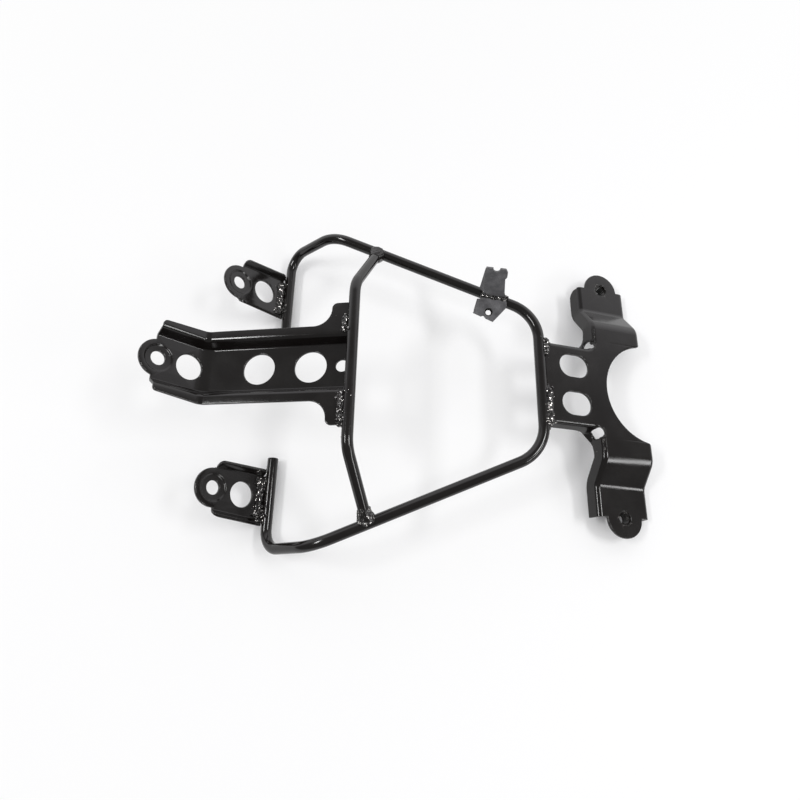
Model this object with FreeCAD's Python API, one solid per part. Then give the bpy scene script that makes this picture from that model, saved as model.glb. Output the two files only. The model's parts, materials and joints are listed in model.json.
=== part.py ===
import FreeCAD, Part
import math
import os
from FreeCAD import Placement, Rotation, Vector

# Welded steel carrier for a scooter's tail: two bent round bars, a pressed centre arm,
# two side tabs, a stepped end plate, a clip bracket, weld nuts and the weld beads.
# Working frame: X runs to the slotted end plate, Y to the left, Z up from the floor.
# The finished pieces are moved so that the origin is under the middle of their box.

# Stock
STEEL_KG_PER_MM3 = 7.85e-6
BAR_D = 8.0
SHEET = 2.3
BEND_R = 1.2
SEAT_GAP = 0.02

# Hoop bar, corner points of its centre line on the left side
HOOP_END_Y = 53.5
HOOP_FOOT_X = -110.1
HOOP_HALF = 121.4
HOOP_LEFT_FOOT_OUT = 3.7
HOOP_RIGHT_FOOT_OUT = -0.2
HOOP_FOOT_Z = 6.6
HOOP_SHOULDER_X = -70.4
HOOP_NOSE_X = 88.9
HOOP_NOSE_Y = 53.7
HOOP_Z = 44.0
HOOP_FOOT_R = 15.0
HOOP_SHOULDER_R = 32.0
HOOP_NOSE_R = 30.0

# Cross bar: how far along the hoop's run it lands, and the corner of its raised middle
CROSS_LANDING = 39.8
CROSS_X = -47.4
CROSS_BEND_Y = 60.2
CROSS_Z = 74.1
CROSS_BEND_R = 22.0

# Centre arm: a hat section, bent up at a valley between its tip and its straight part
ARM_VALLEY_X = -156.5
ARM_VALLEY_Z = 48.8
ARM_SLOPE = 9.1
ARM_TIP_SLOPE = 45.8
ARM_BEND_R = 13.0
ARM_WEB_HALF = 16.2
ARM_TOP_HALF = 20.8
ARM_LIP_HALF = 28.0
ARM_DEPTH = 7.5
ARM_TIP_FLANGE = 36.8
ARM_TIP_R = 13.5
ARM_BOLT_AT = 33.7
ARM_TIP_HOLE_AT = 11.5
ARM_TIP_HOLE_D = 18.7
ARM_HOLES_AT = (41.9, 80.2)
ARM_HOLE_D = 23.4
ARM_PILOT_AT = 103.0
ARM_PILOT_D = 9.0
ARM_UNDER_BAR = 1.4
WING_HALF = 45.5
WING_LENGTH = 11.0
WING_ARC_R = 13.0
WING_CORNER_R = 4.0
TIP_LIP_TAPER = 2.2

# Bolt holes of the arm and the side tabs, each in a pressed round seat
BOLT_D = 10.0
SEAT_D = 19.6
SEAT_DEPTH = 0.7
SEAT_DRAFT = 0.8

# Side tabs: flat tabs under the hoop's free ends, with a flared flange on both long edges
TAB_SLOPE = 48.3
TAB_BOLT_Y = 82.1
TAB_BOLT_TO_BAR = 44.2
TAB_PAST_BAR = 3.0
TAB_END_R = 13.9
TAB_INNER_HALF = 14.3
TAB_OUTER_HALF = 15.4
TAB_OUTER_SPREAD = 3.4
TAB_FLANGE_H = 5.4
TAB_FLANGE_FLARE = 3.1
TAB_FLANGE_FROM = 1.2
TAB_HOLE_AT = 23.0
TAB_HOLE_SHIFT = 1.6
TAB_HOLE_D = 18.5

# End plate, in its own sloping plane: U from the hoop bar's axis down the slope, V along Y
PLATE_SLOPE = 17.2
PLATE_RISE = 1.9
PLATE_EDGE_U = 2.0
PLATE_BODY_HALF = 31.3
PLATE_FLANGE_FROM = 9.0
PLATE_ARM_U = 47.0
PLATE_RIGHT_U = 89.5
PLATE_CORNER_R = 6.5
PLATE_FOLD_R = 1.2
PLATE_DEPTH = 8.0
PLATE_RIGHT_DEPTH = 6.6
PLATE_DRAFT = 0.9
PLATE_LIP = 4.8
PLATE_BODY_LIP = 3.4
PLATE_LIP_CORNER_R = 14.0
PLATE_CREST_V = 54.5
PLATE_RISER = 37.0
PLATE_DROP = 13.0
PLATE_CREST_R = 13.5
PLATE_STEP_R = 6.5
PLATE_NUT_U = 68.5
PLATE_NUT_V = 93.9
PLATE_END_R = 14.6
PLATE_LEFT_LIP_R = 8.0
PLATE_HORN_TRIM = 7.0
PLATE_HORN_R = 5.0
PLATE_ARC_R = 40.0
PLATE_ARC_U = 95.0
SLOT_U = 27.8
SLOT_V = 14.9
SLOT_LENGTH = 24.3
SLOT_WIDTH = 18.0
RELIEF_R = 3.7
RELIEF_LEFT = (45.0, 36.2)
RELIEF_RIGHT = (45.8, -34.6)

# Weld nuts with a round pilot that fills the sheet's hole: M8 on the plate, M5 on the clip
NUT_SIDES = 6
NUT_CHAMFER_ANGLE = 60.0
NUT_ACROSS = 14.0
NUT_HEIGHT = 6.5
NUT_PILOT_D = 10.0
NUT_PILOT_H = 1.1
NUT_THREAD_D = 6.65
NUT_CHAMFER = 0.8
CLIP_NUT_ACROSS = 8.0
CLIP_NUT_HEIGHT = 4.0
CLIP_NUT_PILOT_D = 6.0
CLIP_NUT_PILOT_H = 0.8
CLIP_NUT_THREAD_D = 4.2
CLIP_NUT_CHAMFER = 0.5

# Clip bracket on the hoop's left run: two leaves folded over the bar.
# Outlines are pairs of a distance along the bar and a distance from the fold.
CLIP_ALONG_RUN = 137.7
CLIP_SKEW = 13.9
CLIP_INWARD = 3.0
CLIP_RISE = 6.5
CLIP_SHEET = 2.0
CLIP_DOWN = 20.0
CLIP_UP = 68.0
CLIP_FOLD_R = 0.8
CLIP_OVERRUN = -4.0
CLIP_LOWER = (
    (-8.0, CLIP_OVERRUN), (-8.0, 2.2), (-12.4, 11.7), (-13.2, 14.3), (2.9, 18.7),
    (10.6, 7.3), (11.0, 4.6), (9.9, 0.7), (7.4, CLIP_OVERRUN),
)
CLIP_UPPER = (
    (-7.8, CLIP_OVERRUN), (-7.8, 1.8), (-9.8, 24.6), (4.7, 25.4), (6.4, 22.8),
    (6.7, 18.7), (5.6, 16.9), (7.5, 5.3), (8.6, CLIP_OVERRUN),
)
CLIP_LOWER_FLANGE = ((-8.0, 2.4, 6.0), (-12.6, 12.4, 0.8))
CLIP_UPPER_FLANGE = ((-7.9, 3.0, 5.6), (-9.7, 24.0, 0.9))
CLIP_FLANGE_TURN = 50.0
CLIP_NOTCH_S = -2.1
CLIP_NOTCH_L = 24.7
CLIP_NOTCH_R = 2.5
CLIP_NUT_S = -1.6
CLIP_NUT_L = 11.9
CLIP_NICK_S = -5.0
CLIP_NICK_L = 17.0
CLIP_NICK_R = 1.7

# Weld beads: radii, and the stretches they cover along Y or along the bar
CROSS_BEAD_R = (6.6, 4.3)
CROSS_BEAD_LENGTH = 9.0
CROSS_BEAD_START = 2.2
WING_BEAD_R = 2.7
WING_BEAD_LEFT_FROM_EDGE = (13.5, 21.0)
WING_BEAD_RIGHT_FROM_EDGE = (2.5, 20.5)
PLATE_BEAD_R = 2.9
PLATE_BEAD_LEFT = (22.0, 31.0)
PLATE_BEAD_RIGHT = (-31.5, -9.0)
TAB_BEAD_R = 4.6
TAB_BEAD_FROM_BAR = 5.2
TAB_BEAD_DROP = 2.2
TAB_BEAD_HALF = 11.5
CLIP_BEAD_R = 2.2
CLIP_BEAD_OUT = 0.8
CLIP_BEAD_RISE = 0.6
CLIP_BEAD_SPAN = (-6.0, 9.0)

bar_r = BAR_D / 2
mirror_y = Vector(0, 1, 0)


def frame(origin, x_axis, y_axis):
    """Placement whose local X and Y run along two given directions."""
    return Placement(origin, Rotation(x_axis, y_axis, x_axis.cross(y_axis), "XYZ"))


def unit(vector):
    """Copy of a vector with length one."""
    return Vector(vector).normalize()


def placed(shape, placement):
    """Copy of a locally drawn shape, set in a frame."""
    copy = shape.copy()
    copy.Placement = placement.multiply(copy.Placement)
    return copy


def left_and_right(shape):
    """A left piece and its mirror image on the right."""
    return shape, shape.mirror(Vector(0, 0, 0), mirror_y)


def rounded_path(points, radii):
    """Edges of a polyline whose inner corners are rounded by tangent arcs."""
    edges = []
    start = points[0]
    for corner, following, radius in zip(points[1:-1], points[2:], radii):
        back = unit(start - corner)
        ahead = unit(following - corner)
        half = back.getAngle(ahead) / 2
        reach = radius / math.tan(half)
        inward = unit(back + ahead)
        centre = corner + inward * (radius / math.sin(half))
        first = corner + back * reach
        last = corner + ahead * reach
        edges.append(Part.LineSegment(start, first).toShape())
        edges.append(Part.Arc(first, centre - inward * radius, last).toShape())
        start = last
    edges.append(Part.LineSegment(start, points[-1]).toShape())
    return edges


def bent_bar(points, radii):
    """Round bar along a rounded polyline."""
    path = Part.Wire(rounded_path(points, radii))
    along = unit(points[1] - points[0])
    section = Part.Wire(Part.Circle(points[0], along, bar_r).toShape())
    return path.makePipeShell([section], True, False)


def outline_face(points, radii):
    """Flat face of a closed outline; the radius beside each point rounds that corner."""
    middle = (points[0] + points[-1]) / 2
    ring = [middle] + list(points) + [middle]
    edges = []
    start = ring[0]
    for corner, following, radius in zip(ring[1:-1], ring[2:], radii):
        if radius > 0:
            edges += rounded_path([start, corner, following], [radius])[:2]
            start = edges[-1].valueAt(edges[-1].LastParameter)
        else:
            edges.append(Part.LineSegment(start, corner).toShape())
            start = corner
    edges.append(Part.LineSegment(start, middle).toShape())
    return Part.Face(Part.Wire(edges))


def flat(points):
    """Points of a local drawing plane from pairs of numbers."""
    return [Vector(a, b, 0) for a, b in points]


def sheet_section(points, inner_radii, thickness):
    """Cross-section of a bent sheet: its upper line and the line one thickness to its right."""
    upper = flat(points)
    along = [unit(b - a) for a, b in zip(upper[:-1], upper[1:])]
    across = [Vector(d.y, -d.x, 0) for d in along]
    lower = [upper[0] + across[0] * thickness]
    upper_radii = []
    lower_radii = []
    for corner, before, after, radius in zip(upper[1:-1], across[:-1], across[1:], inner_radii):
        lower.append(corner + (before + after) * (thickness / (1 + before.dot(after))))
        turns_left = before.cross(after).z > 0
        upper_radii.append(radius if turns_left else radius + thickness)
        lower_radii.append(radius + thickness if turns_left else radius)
    lower.append(upper[-1] + across[-1] * thickness)
    edges = rounded_path(upper, upper_radii)
    edges.append(Part.LineSegment(upper[-1], lower[-1]).toShape())
    edges += rounded_path(lower, lower_radii)
    edges.append(Part.LineSegment(lower[0], upper[0]).toShape())
    return Part.Face(Part.Wire(Part.__sortEdges__(edges)))


def travelled(section, start, moves):
    """Solids left by a section that travels along local Z through runs and bends.

    A move is a length, or a pair of an angle and a radius; a positive angle bends up.
    """
    solids = []
    place = start
    for move in moves:
        if isinstance(move, tuple):
            angle, radius = move
            side = 1 if angle > 0 else -1
            centre = Vector(0, side * radius, 0)
            axis = Vector(-side, 0, 0)
            solids.append(placed(section.revolve(centre, axis, abs(angle)), place))
            place = place.multiply(Placement(Vector(0, 0, 0), Rotation(axis, abs(angle)), centre))
        else:
            solids.append(placed(section.extrude(Vector(0, 0, move)), place))
            place = place.multiply(Placement(Vector(0, 0, move), Rotation()))
    return solids


def one_solid(shapes):
    """Single clean solid fused from overlapping or touching shapes."""
    fused = shapes[0].multiFuse(shapes[1:]).removeSplitter()
    return max(fused.Solids, key=lambda solid: solid.Volume)


def bored(shape, centres, diameter, place, reach=30.0):
    """Shape with round holes along local Z at points of a frame."""
    for a, b in centres:
        drill = Part.makeCylinder(diameter / 2, 2 * reach, Vector(a, b, -reach))
        shape = shape.cut(placed(drill, place))
    return shape


def pressed_seat(shape, a, b, place):
    """Shape with a shallow round seat pressed down one seat depth, then a bolt hole."""
    wide = SEAT_D / 2
    narrow = wide - SEAT_DRAFT
    below = Part.makeCone(wide, narrow, SEAT_DEPTH, Vector(a, b, -SHEET), Vector(0, 0, -1))
    above = Part.makeCone(wide, narrow, SEAT_DEPTH, Vector(a, b, 0), Vector(0, 0, -1))
    shape = shape.fuse(placed(below, place)).cut(placed(above, place))
    return bored(shape, [(a, b)], BOLT_D, place)


def hoop_rod():
    """Outer hoop: one bar from the left free end round the nose to the right free end."""
    left = [
        Vector(HOOP_FOOT_X, HOOP_END_Y, HOOP_FOOT_Z),
        Vector(HOOP_FOOT_X, HOOP_HALF + HOOP_LEFT_FOOT_OUT, HOOP_FOOT_Z),
        Vector(HOOP_SHOULDER_X, HOOP_HALF, HOOP_Z),
        Vector(HOOP_NOSE_X, HOOP_NOSE_Y, HOOP_Z),
    ]
    right = [Vector(p.x, -p.y, p.z) for p in reversed(left)]
    right[2] = Vector(HOOP_FOOT_X, -HOOP_HALF - HOOP_RIGHT_FOOT_OUT, HOOP_FOOT_Z)
    radii = [HOOP_FOOT_R, HOOP_SHOULDER_R, HOOP_NOSE_R]
    return bent_bar(left + right, radii + radii[::-1])


def run_point(distance):
    """Point of the hoop's left run at a distance from its shoulder corner."""
    return shoulder + run_along * distance


def cross_rod(hoop):
    """Raised cross bar, its ends coped to the hoop's runs."""
    landing = run_point(CROSS_LANDING)
    knee = Vector(CROSS_X, CROSS_BEND_Y, CROSS_Z)
    left = [landing, knee]
    right = [Vector(p.x, -p.y, p.z) for p in reversed(left)]
    bar = bent_bar(left + right, [CROSS_BEND_R, CROSS_BEND_R])
    return one_solid([bar.cut(hoop)])


def centre_arm(cross):
    """Pressed arm: bent hat section, round tip, wings at the cross bar and round holes."""
    down_tip = Vector(math.cos(tip_angle), 0, -math.sin(tip_angle))
    tip_normal = Vector(math.sin(tip_angle), 0, math.cos(tip_angle))
    along = Vector(math.cos(arm_angle), 0, math.sin(arm_angle))
    normal = Vector(-math.sin(arm_angle), 0, math.cos(arm_angle))
    valley = Vector(ARM_VALLEY_X, 0, ARM_VALLEY_Z)
    tip_plane = frame(valley, down_tip, Vector(0, 1, 0))
    arm_plane = frame(valley, along, Vector(0, 1, 0))

    half = [(ARM_WEB_HALF, 0), (ARM_TOP_HALF, ARM_DEPTH), (ARM_LIP_HALF, ARM_DEPTH)]
    hat = [(-a, b) for a, b in reversed(half)] + half
    section = sheet_section(hat, [BEND_R] * (len(hat) - 2), SHEET)
    turn = ARM_SLOPE + ARM_TIP_SLOPE
    reach = ARM_BEND_R * math.tan(math.radians(turn) / 2)
    length = (CROSS_X + ARM_UNDER_BAR - ARM_VALLEY_X) / math.cos(arm_angle)
    start = frame(valley - down_tip * ARM_TIP_FLANGE, Vector(0, 1, 0), tip_normal)
    moves = [ARM_TIP_FLANGE - reach, (turn, ARM_BEND_R), length - reach]
    pieces = travelled(section, start, moves)

    neck = ARM_BOLT_AT - ARM_TIP_HOLE_AT
    tip = Part.makeCylinder(ARM_TIP_R, SHEET, Vector(-ARM_BOLT_AT, 0, -SHEET))
    tongue = Part.makeBox(neck, 2 * ARM_TIP_R, SHEET, Vector(-ARM_BOLT_AT, -ARM_TIP_R, -SHEET))
    pieces += [placed(tip, tip_plane), placed(tongue, tip_plane)]

    wing_tip = (CROSS_X - ARM_VALLEY_X) / math.cos(arm_angle)
    wing_root = wing_tip - bar_r - WING_LENGTH
    lip_middle = (ARM_TOP_HALF + ARM_LIP_HALF) / 2
    rim = flat([
        (wing_tip, lip_middle),
        (wing_tip, WING_HALF),
        (wing_root, WING_HALF),
        (wing_root, ARM_LIP_HALF),
        (wing_root - 2 * WING_ARC_R, ARM_LIP_HALF),
        (wing_root - 2 * WING_ARC_R, lip_middle),
    ])
    wing = outline_face(rim, [0, 0, WING_CORNER_R, WING_ARC_R, 0, 0]).extrude(Vector(0, 0, SHEET))
    wing.translate(Vector(0, 0, ARM_DEPTH - SHEET))
    pieces += [placed(side, arm_plane) for side in left_and_right(wing)]
    arm = one_solid(pieces)

    arm = arm.cut(cross)

    taper = Part.Face(Part.makePolygon(flat([
        (-ARM_TIP_FLANGE - SHEET, ARM_LIP_HALF - TIP_LIP_TAPER),
        (0, ARM_LIP_HALF),
        (0, ARM_LIP_HALF + SHEET),
        (-ARM_TIP_FLANGE - SHEET, ARM_LIP_HALF + SHEET),
        (-ARM_TIP_FLANGE - SHEET, ARM_LIP_HALF - TIP_LIP_TAPER),
    ]))).extrude(Vector(0, 0, 2 * ARM_DEPTH))
    for side in left_and_right(taper):
        arm = arm.cut(placed(side, tip_plane))

    arm = pressed_seat(arm, -ARM_BOLT_AT, 0, tip_plane)
    arm = bored(arm, [(-ARM_TIP_HOLE_AT, 0)], ARM_TIP_HOLE_D, tip_plane, ARM_DEPTH)
    arm = bored(arm, [(at, 0) for at in ARM_HOLES_AT], ARM_HOLE_D, arm_plane, ARM_DEPTH)
    arm = bored(arm, [(ARM_PILOT_AT, 0)], ARM_PILOT_D, arm_plane, ARM_DEPTH / 2)
    return one_solid([arm])


def tab_plane():
    """Frame of the left tab's upper face at its bolt hole, X down the slope to the bar."""
    slope = math.radians(TAB_SLOPE)
    down = Vector(math.cos(slope), 0, -math.sin(slope))
    normal = Vector(math.sin(slope), 0, math.cos(slope))
    bar = Vector(HOOP_FOOT_X, TAB_BOLT_Y, HOOP_FOOT_Z)
    return frame(bar - normal * (bar_r + SEAT_GAP) - down * TAB_BOLT_TO_BAR, down, Vector(0, 1, 0))


def tab_section(station, outer):
    """Tab's flanged cross-section at a distance down the slope from the bolt hole."""
    line = [
        (-TAB_INNER_HALF - TAB_FLANGE_FLARE, TAB_FLANGE_H),
        (-TAB_INNER_HALF, 0),
        (outer, 0),
        (outer + TAB_FLANGE_FLARE, TAB_FLANGE_H),
    ]
    face = sheet_section(line, [BEND_R, BEND_R], SHEET)
    return placed(face.OuterWire, frame(Vector(station, 0, 0), Vector(0, 1, 0), Vector(0, 0, 1)))


def side_tab():
    """Left side tab: round bolt end, flared flanges, lightening hole, foot under the bar."""
    place = tab_plane()
    foot = TAB_BOLT_TO_BAR + TAB_PAST_BAR
    flange_to = TAB_BOLT_TO_BAR - bar_r - SEAT_GAP
    spread = TAB_OUTER_SPREAD * flange_to / foot
    ends = [
        tab_section(TAB_FLANGE_FROM, TAB_OUTER_HALF),
        tab_section(flange_to, TAB_OUTER_HALF + spread),
    ]
    trough = Part.makeLoft(ends, True, True)
    base = Part.Face(Part.makePolygon(flat([
        (0, -TAB_INNER_HALF),
        (foot, -TAB_INNER_HALF),
        (foot, TAB_OUTER_HALF + TAB_OUTER_SPREAD),
        (0, TAB_END_R),
        (0, -TAB_INNER_HALF),
    ])))
    base = base.extrude(Vector(0, 0, -SHEET))
    end = Part.makeCylinder(TAB_END_R, SHEET, Vector(0, 0, -SHEET))
    tab = one_solid([placed(piece, place) for piece in (trough, base, end)])
    tab = pressed_seat(tab, 0, 0, place)
    tab = bored(tab, [(TAB_HOLE_AT, TAB_HOLE_SHIFT)], TAB_HOLE_D, place, TAB_FLANGE_H)
    return one_solid([tab])


def plate_frame():
    """Frame of the end plate's upper face: X down its slope, Y to the left."""
    slope = math.radians(PLATE_SLOPE)
    down = Vector(math.cos(slope), 0, -math.sin(slope))
    normal = Vector(math.sin(slope), 0, math.cos(slope))
    return frame(Vector(HOOP_NOSE_X, 0, HOOP_Z) + normal * PLATE_RISE, down, Vector(0, 1, 0))


def plate_flange(fold, side, lip):
    """Upper line of a rolled flange and its lip, outwards from a fold position."""
    lip_top = -(PLATE_DEPTH - SHEET)
    return [
        (fold, 0),
        (fold + side * PLATE_DRAFT, lip_top),
        (fold + side * lip, lip_top),
    ]


def plate_right_arm():
    """Solids of the right stepped arm: a flanged section over a crest, riser and foot."""
    lipped = plate_flange(PLATE_ARM_U, -1, PLATE_LIP)[::-1]
    rolled = [(PLATE_RIGHT_U, 0), (PLATE_RIGHT_U + PLATE_DRAFT, -PLATE_RIGHT_DEPTH)]
    section = sheet_section(lipped + rolled, [PLATE_FOLD_R] * 3, SHEET)
    turn = math.radians(PLATE_RISER) / 2
    first = PLATE_CREST_V - plate_corner_v - PLATE_CREST_R * math.tan(turn)
    riser = PLATE_DROP / math.sin(2 * turn) - (PLATE_CREST_R + PLATE_STEP_R) * math.tan(turn)
    step_v = PLATE_CREST_V + PLATE_DROP / math.tan(2 * turn)
    last = PLATE_NUT_V - step_v - PLATE_STEP_R * math.tan(turn)
    start = frame(Vector(0, -plate_corner_v, 0), Vector(1, 0, 0), Vector(0, 0, 1))
    moves = [first, (-PLATE_RISER, PLATE_CREST_R), riser, (PLATE_RISER, PLATE_STEP_R), last]
    low = Vector(PLATE_NUT_U, -PLATE_NUT_V, -PLATE_DROP - SHEET)
    return travelled(section, start, moves) + [Part.makeCylinder(PLATE_END_R, SHEET, low)]


def plate_right_edge():
    """Solids of the flange along the body's right edge, round its inner corner, and its lip."""
    line = [(-PLATE_CORNER_R, 0)] + plate_flange(0, 1, PLATE_BODY_LIP)
    section = sheet_section(line, [PLATE_FOLD_R] * 2, SHEET)
    begin = Vector(PLATE_FLANGE_FROM, -PLATE_BODY_HALF, 0)
    end = Vector(plate_corner_u, -PLATE_BODY_HALF, 0)
    outward = Vector(0, -1, 0)
    section = placed(section, frame(end, outward, Vector(0, 0, 1)))
    edge = section.extrude(begin - end)
    corner = section.revolve(Vector(plate_corner_u, -plate_corner_v, 0), Vector(0, 0, -1), 90)

    lip_v = PLATE_BODY_HALF + PLATE_BODY_LIP
    lip_u = PLATE_ARM_U - PLATE_LIP
    inner_u = PLATE_ARM_U - PLATE_DRAFT
    inner_v = PLATE_BODY_HALF + PLATE_DRAFT
    reach = PLATE_LIP_CORNER_R
    lip = outline_face(flat([
        (lip_u - reach - SHEET, -inner_v - SHEET / 2),
        (lip_u - reach - SHEET, -lip_v),
        (lip_u, -lip_v),
        (lip_u, -lip_v - reach - SHEET),
        (inner_u - SHEET / 2, -lip_v - reach - SHEET),
        (inner_u - SHEET / 2, -inner_v - SHEET / 2),
    ]), [0, 0, reach, 0, 0, 0]).extrude(Vector(0, 0, SHEET))
    lip.translate(Vector(0, 0, -PLATE_DEPTH))
    return [edge, corner, lip]


def end_plate(hoop):
    """Stepped butterfly plate: slotted body, arc cut-out and two flanged arms."""
    inner = PLATE_BODY_HALF - PLATE_CORNER_R
    deck = Part.Face(Part.makePolygon(flat([
        (PLATE_EDGE_U, -PLATE_BODY_HALF),
        (PLATE_FLANGE_FROM, -PLATE_BODY_HALF),
        (PLATE_FLANGE_FROM, -inner),
        (plate_corner_u, -inner),
        (PLATE_ARM_U + PLATE_CORNER_R, -plate_corner_v),
        (PLATE_RIGHT_U - PLATE_CORNER_R, -plate_corner_v),
        (PLATE_RIGHT_U - PLATE_CORNER_R, plate_corner_v),
        (PLATE_ARM_U + PLATE_CORNER_R, plate_corner_v),
        (plate_corner_u, inner),
        (PLATE_FLANGE_FROM, inner),
        (PLATE_FLANGE_FROM, PLATE_BODY_HALF),
        (PLATE_EDGE_U, PLATE_BODY_HALF),
        (PLATE_EDGE_U, -PLATE_BODY_HALF),
    ]))).extrude(Vector(0, 0, -SHEET))
    right = one_solid(plate_right_arm() + plate_right_edge())
    plate = one_solid([deck, right, right.mirror(Vector(0, 0, 0), mirror_y)])

    deep = 3 * PLATE_DROP
    cuts = [Part.makeCylinder(PLATE_ARC_R, 2 * deep, Vector(PLATE_ARC_U, 0, -deep))]
    trim_r = PLATE_ARC_R + PLATE_HORN_TRIM
    cuts.append(Part.makeCylinder(trim_r, deep, Vector(PLATE_ARC_U, 0, -deep - SHEET)))
    lip_u = PLATE_ARM_U - PLATE_LIP
    round_v = PLATE_NUT_V - PLATE_LEFT_LIP_R
    block = Part.makeBox(
        PLATE_LEFT_LIP_R, PLATE_LEFT_LIP_R, deep, Vector(lip_u, round_v, -deep - PLATE_DROP - SHEET)
    )
    pin = Part.makeCylinder(
        PLATE_LEFT_LIP_R, deep, Vector(lip_u + PLATE_LEFT_LIP_R, round_v, -deep - PLATE_DROP - SHEET)
    )
    cuts.append(block.cut(pin))
    straight = (SLOT_LENGTH - SLOT_WIDTH) / 2
    horn_u = PLATE_RIGHT_U + PLATE_DRAFT - PLATE_HORN_R
    horn_v = math.sqrt((PLATE_ARC_R + PLATE_HORN_R) ** 2 - (PLATE_ARC_U - horn_u) ** 2)
    corner = Vector(horn_u, horn_v - PLATE_HORN_R, -deep)
    horn_block = Part.makeBox(2 * PLATE_HORN_R, PLATE_HORN_R, 2 * deep, corner)
    horn_pin = Part.makeCylinder(PLATE_HORN_R, 2 * deep, Vector(horn_u, horn_v, -deep))
    cuts += left_and_right(horn_block.cut(horn_pin))
    for side in (-1, 1):
        slot = outline_slot(straight, SLOT_WIDTH / 2).extrude(Vector(0, 0, 2 * deep))
        slot.translate(Vector(SLOT_U, side * SLOT_V, -deep))
        relief_u, relief_v = RELIEF_LEFT if side > 0 else RELIEF_RIGHT
        relief = Vector(relief_u, relief_v, -deep)
        nut = Vector(PLATE_NUT_U, side * PLATE_NUT_V, -deep)
        cuts.append(slot)
        cuts.append(Part.makeCylinder(RELIEF_R, 2 * deep, relief))
        cuts.append(Part.makeCylinder(NUT_PILOT_D / 2, 2 * deep, nut))
    for tool in cuts:
        plate = plate.cut(tool)
    return one_solid([placed(plate, plate_frame()).cut(hoop)])


def outline_slot(half_length, radius):
    """Flat face of a round-ended slot along local X."""
    edges = []
    for side in (-1, 1):
        start = Vector(side * half_length, -side * radius, 0)
        middle = Vector(side * (half_length + radius), 0, 0)
        end = Vector(side * half_length, side * radius, 0)
        edges.append(Part.Arc(start, middle, end).toShape())
        edges.append(Part.LineSegment(end, Vector(-end.x, end.y, 0)).toShape())
    return Part.Face(Part.Wire(Part.__sortEdges__(edges)))


def weld_nut(across, nut_height, pilot_d, pilot_h, thread_d, chamfer):
    """Weld nut in its own frame: the sheet's lower face is Z = 0, the nut hangs below it."""
    step = 2 * math.pi / NUT_SIDES
    corner_r = across / 2 / math.cos(step / 2)
    ring = [
        Vector(corner_r * math.cos(step * k), corner_r * math.sin(step * k), 0)
        for k in range(NUT_SIDES + 1)
    ]
    hexagon = Part.Face(Part.makePolygon(ring)).extrude(Vector(0, 0, -nut_height))
    tip_r = across / 2
    cone_rise = nut_height * math.tan(math.radians(NUT_CHAMFER_ANGLE))
    cone = Part.makeCone(tip_r, tip_r + cone_rise, nut_height, Vector(0, 0, -nut_height))
    nut = hexagon.common(cone)
    nut = nut.fuse(Part.makeCylinder(pilot_d / 2, pilot_h))
    bore_r = thread_d / 2
    nut = nut.cut(Part.makeCylinder(bore_r, nut_height + pilot_h, Vector(0, 0, -nut_height)))
    top = Part.makeCone(bore_r, bore_r + chamfer, chamfer, Vector(0, 0, pilot_h - chamfer))
    bottom = Part.makeCone(bore_r + chamfer, bore_r, chamfer, Vector(0, 0, -nut_height))
    return one_solid([nut.cut(top).cut(bottom)])


def leaf_plane(angle):
    """Frame of a clip leaf's upper face: X along the bar, Y away from the fold."""
    outward = Vector(0, 0, 1).cross(clip_along)
    rise = math.radians(angle)
    return frame(clip_fold, clip_along, outward * math.cos(rise) + Vector(0, 0, math.sin(rise)))


def leaf_flange(ends, place, back):
    """Tapered strip bent back along a leaf's left edge."""
    turn = math.radians(CLIP_FLANGE_TURN)
    away = Vector(-math.cos(turn), 0, back * math.sin(turn))
    (s0, l0, w0), (s1, l1, w1) = ends
    fold = [Vector(s0, l0, 0), Vector(s1, l1, 0)]
    rim = [fold[1] + away * w1, fold[0] + away * w0]
    face = Part.Face(Part.makePolygon(fold + rim + fold[:1]))
    normal = unit((fold[1] - fold[0]).cross(away))
    if normal.z * back < 0:
        normal = -normal
    return placed(face.extrude(normal * CLIP_SHEET), place)


def clip_bracket(hoop):
    """Folded bracket over the bar: a rising leaf with a notch and a falling leaf with a hole."""
    down = leaf_plane(180 + CLIP_DOWN)
    up = leaf_plane(CLIP_UP)
    wide = 2 * max(abs(s) for s, l in CLIP_LOWER + CLIP_UPPER) + CLIP_SHEET
    reach = max(l for s, l in CLIP_LOWER + CLIP_UPPER) + CLIP_SHEET
    low = math.radians(180 + CLIP_DOWN)
    high = math.radians(CLIP_UP)
    line = [
        (reach * math.cos(low), reach * math.sin(low)),
        (0, 0),
        (reach * math.cos(high), reach * math.sin(high)),
    ]
    outward = Vector(0, 0, 1).cross(clip_along)
    across = frame(clip_fold - clip_along * (wide / 2), outward, Vector(0, 0, 1))
    strip = placed(sheet_section(line, [CLIP_FOLD_R], CLIP_SHEET).extrude(Vector(0, 0, wide)), across)
    halves = []
    for outline, place in ((CLIP_LOWER, down), (CLIP_UPPER, up)):
        ring = flat(outline)
        prism = Part.Face(Part.makePolygon(ring + ring[:1])).extrude(Vector(0, 0, 6 * CLIP_SHEET))
        prism.translate(Vector(0, 0, -3 * CLIP_SHEET))
        halves.append(strip.common(placed(prism, place)))
    halves.append(leaf_flange(CLIP_LOWER_FLANGE, down, 1))
    halves.append(leaf_flange(CLIP_UPPER_FLANGE, up, -1))
    clip = one_solid(halves)
    through = 3 * CLIP_SHEET
    notch = Part.makeCylinder(CLIP_NOTCH_R, 2 * through, Vector(CLIP_NOTCH_S, CLIP_NOTCH_L, -through))
    clip = clip.cut(placed(notch, up))
    nick = Part.makeCylinder(CLIP_NICK_R, 2 * through, Vector(CLIP_NICK_S, CLIP_NICK_L, -through))
    clip = clip.cut(placed(nick, down))
    clip = bored(clip, [(CLIP_NUT_S, CLIP_NUT_L)], CLIP_NUT_PILOT_D, down, through)
    return one_solid([clip.cut(hoop)])


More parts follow.
